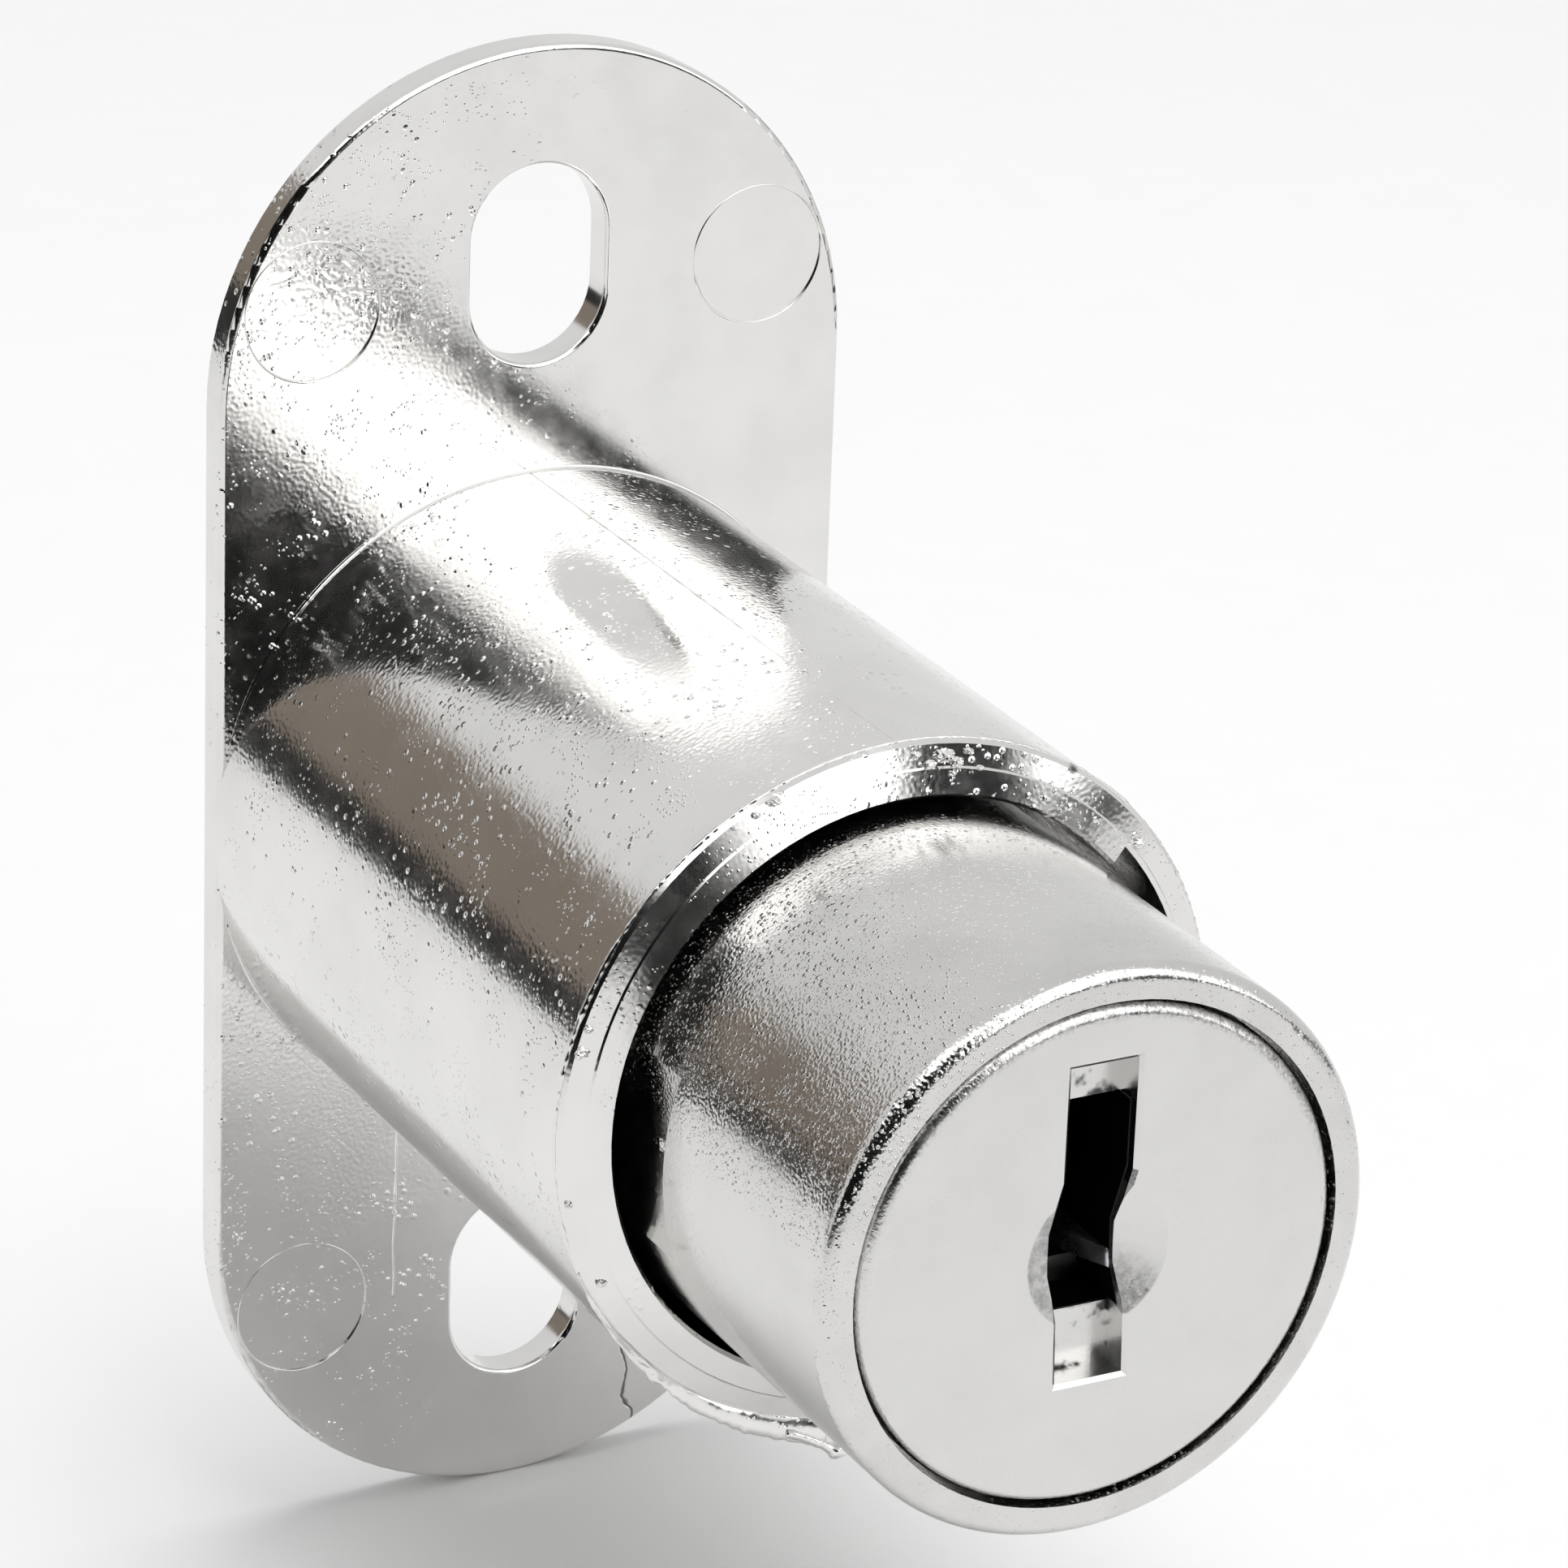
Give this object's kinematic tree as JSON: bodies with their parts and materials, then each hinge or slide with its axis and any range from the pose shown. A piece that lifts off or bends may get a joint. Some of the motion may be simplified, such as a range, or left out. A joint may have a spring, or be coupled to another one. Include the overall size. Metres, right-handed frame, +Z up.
{
  "type": "push-in plunger lock",
  "caption": "Push-in plunger lock for a sliding door: slotted obround flange, round housing, and a keyed plunger that stands out of it and slides in to send a bolt out of the back.",
  "frame": {"origin": "on the lock axis, at the flange face that seats on the back of the door, halfway between the two screw slots", "axes": "+Z up along the flange's long axis, +Y along the lock axis towards the back, so the key goes in along +Y; -Y is the front"},
  "size_m": [0.022, 0.0383, 0.0502],
  "materials": {
    "housing_plating": "bright nickel plate on die-cast zinc",
    "barrel_plating": "bright nickel plate on die-cast zinc",
    "plug_plating": "bright nickel plate, worn satin",
    "cast_zinc": "plain die-cast zinc",
    "zinc_plated_steel": "zinc-plated",
    "spring_steel": "drawn wire",
    "pin_steel": "ground",
    "bolt_steel": "turned, bright plated",
    "latch_steel": "sintered steel",
    "wafer_metal": "stamped nickel silver"
  },
  "bodies": {
    "housing_body": {"housing": "housing_plating", "rear_cap": "zinc_plated_steel", "cap_snap_ring": "spring_steel"},
    "plunger": {"barrel": "barrel_plating", "bolt_carrier": "cast_zinc", "carrier_pins": "pin_steel", "locking_bolt": "bolt_steel", "return_spring": "spring_steel", "latch_spring": "spring_steel"},
    "plug_core": {"plug": "plug_plating", "plug_washer": "zinc_plated_steel", "plug_clip": "spring_steel", "wafer_spring_1": "spring_steel", "wafer_spring_2": "spring_steel", "wafer_spring_3": "spring_steel", "wafer_spring_4": "spring_steel", "wafer_spring_5": "spring_steel"},
    "latch_yoke": {"latch": "latch_steel"},
    "wafer_body_1": {"wafer_1": "wafer_metal"},
    "wafer_body_2": {"wafer_2": "wafer_metal"},
    "wafer_body_3": {"wafer_3": "wafer_metal"},
    "wafer_body_4": {"wafer_4": "wafer_metal"},
    "wafer_body_5": {"wafer_5": "wafer_metal"}
  },
  "joints": [
    {"name": "barrel_slide", "type": "slide", "parent": "housing_body", "child": "plunger", "axis": [0, 1, 0], "range_m": [0, 0.01], "stiffness_N_per_m": 220, "springref_m": -0.008, "deforming": ["return_spring"]},
    {"name": "plug_turn", "type": "hinge", "parent": "plunger", "child": "plug_core", "pos_m": [0, -0.03, 0], "axis": [0, 1, 0], "range_deg": [0, 90]},
    {"name": "latch_slide", "type": "slide", "parent": "plunger", "child": "latch_yoke", "axis": [-1, 0, 0], "range_m": [0, 0.0011], "stiffness_N_per_m": 300, "springref_m": -0.0015, "deforming": ["latch_spring"]},
    {"name": "wafer_1_slide", "type": "slide", "parent": "plug_core", "child": "wafer_body_1", "axis": [0, 0, 1], "range_m": [-0.0006, 0], "stiffness_N_per_m": 80, "springref_m": -0.0012, "deforming": ["wafer_spring_1"]},
    {"name": "wafer_2_slide", "type": "slide", "parent": "plug_core", "child": "wafer_body_2", "axis": [0, 0, 1], "range_m": [-0.0006, 0], "stiffness_N_per_m": 80, "springref_m": -0.0012, "deforming": ["wafer_spring_2"]},
    {"name": "wafer_3_slide", "type": "slide", "parent": "plug_core", "child": "wafer_body_3", "axis": [0, 0, 1], "range_m": [-0.0006, 0], "stiffness_N_per_m": 80, "springref_m": -0.0012, "deforming": ["wafer_spring_3"]},
    {"name": "wafer_4_slide", "type": "slide", "parent": "plug_core", "child": "wafer_body_4", "axis": [0, 0, 1], "range_m": [-0.0006, 0], "stiffness_N_per_m": 80, "springref_m": -0.0012, "deforming": ["wafer_spring_4"]},
    {"name": "wafer_5_slide", "type": "slide", "parent": "plug_core", "child": "wafer_body_5", "axis": [0, 0, 1], "range_m": [-0.0006, 0], "stiffness_N_per_m": 80, "springref_m": -0.0012, "deforming": ["wafer_spring_5"]}
  ],
  "couplings": [
    {"joint": "latch_slide", "follows": "plug_turn", "m_per_rad": 0.00063662}
  ]
}
